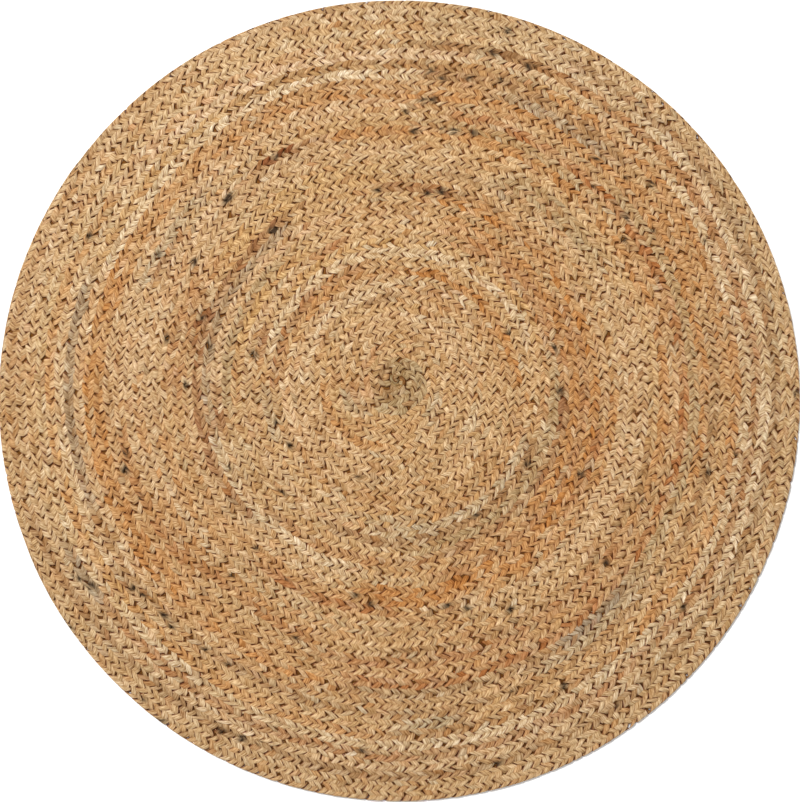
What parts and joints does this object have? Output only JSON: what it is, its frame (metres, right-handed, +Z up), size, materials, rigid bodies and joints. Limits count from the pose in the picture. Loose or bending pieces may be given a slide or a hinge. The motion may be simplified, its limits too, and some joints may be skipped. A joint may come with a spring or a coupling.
{
  "type": "round braided jute rug",
  "caption": "Flat round floor rug of flat jute braids coiled side by side and sewn edge to edge, with a rounded rim.",
  "frame": {"origin": "centre of the underside, on the floor", "axes": "+Z up out of the floor, square to the rug; +X towards the picture's right side and +Y towards its top"},
  "size_m": [1.2, 1.2, 0.009],
  "materials": {
    "jute": "dull undyed plaited jute yarn in straw, tan and rust lots"
  },
  "bodies": {
    "root": {"coiled_plait_mat": "jute"}
  },
  "joints": []
}
